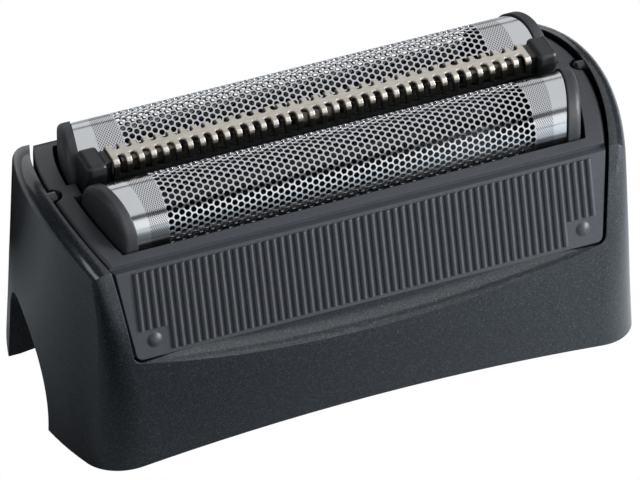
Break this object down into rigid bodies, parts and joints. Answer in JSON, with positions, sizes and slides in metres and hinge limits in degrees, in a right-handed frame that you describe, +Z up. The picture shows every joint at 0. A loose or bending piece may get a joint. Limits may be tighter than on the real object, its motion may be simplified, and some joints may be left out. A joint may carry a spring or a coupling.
{
  "type": "shaver foil head",
  "caption": "Foil shaver head: dark frame with ribbed skirts, floating half-round perforated foils and a slotted centre trimmer with a sliding blade",
  "frame": {"origin": "centre of the bounding box on the plane of the frame's feet", "axes": "+X along the foils, -Y towards the front skirt, +Z up towards the foils"},
  "size_m": [0.0604, 0.0284, 0.0274],
  "materials": {
    "metallic_paint": "charcoal metallic paint over moulded plastic",
    "carrier_plastic": "moulded, fine matte texture",
    "cap_plastic": "moulded, satin",
    "foil_nickel": "bright electroformed nickel",
    "comb_steel": "satin, warm",
    "blade_steel": "ground",
    "spring_steel": "rolled strip",
    "pale_plastic": "moulded, natural"
  },
  "bodies": {
    "head": {"head_frame": "metallic_paint", "foil_carrier": "carrier_plastic", "front_left_spring": "spring_steel", "front_right_spring": "spring_steel", "rear_left_spring": "spring_steel", "rear_right_spring": "spring_steel", "trimmer_left_spring": "spring_steel", "trimmer_right_spring": "spring_steel"},
    "front_foil_unit": {"front_foil": "foil_nickel", "front_left_cap": "cap_plastic", "front_right_cap": "cap_plastic", "front_outer_rail": "cap_plastic", "front_inner_rail": "cap_plastic"},
    "rear_foil_unit": {"rear_foil": "foil_nickel", "rear_left_cap": "cap_plastic", "rear_right_cap": "cap_plastic", "rear_outer_rail": "cap_plastic", "rear_inner_rail": "cap_plastic"},
    "trimmer": {"trimmer_comb": "comb_steel", "trimmer_cradle": "cap_plastic", "trimmer_left_block": "cap_plastic", "trimmer_right_block": "cap_plastic"},
    "trimmer_cutter": {"trimmer_blade": "blade_steel", "trimmer_drive_foot": "pale_plastic"}
  },
  "joints": [
    {"name": "front_foil_float", "type": "slide", "parent": "head", "child": "front_foil_unit", "axis": [0, 0, 1], "range_m": [-0.0012, 0], "stiffness_N_per_m": 250, "springref_m": 0.003, "deforming": ["front_left_spring", "front_right_spring"]},
    {"name": "rear_foil_float", "type": "slide", "parent": "head", "child": "rear_foil_unit", "axis": [0, 0, 1], "range_m": [-0.0012, 0], "stiffness_N_per_m": 250, "springref_m": 0.003, "deforming": ["rear_left_spring", "rear_right_spring"]},
    {"name": "trimmer_float", "type": "slide", "parent": "head", "child": "trimmer", "axis": [0, 0, 1], "range_m": [-0.0008, 0], "stiffness_N_per_m": 250, "springref_m": 0.003, "deforming": ["trimmer_left_spring", "trimmer_right_spring"]},
    {"name": "blade_stroke", "type": "slide", "parent": "trimmer", "child": "trimmer_cutter", "axis": [1, 0, 0], "range_m": [-0.0008, 0.0008]}
  ]
}
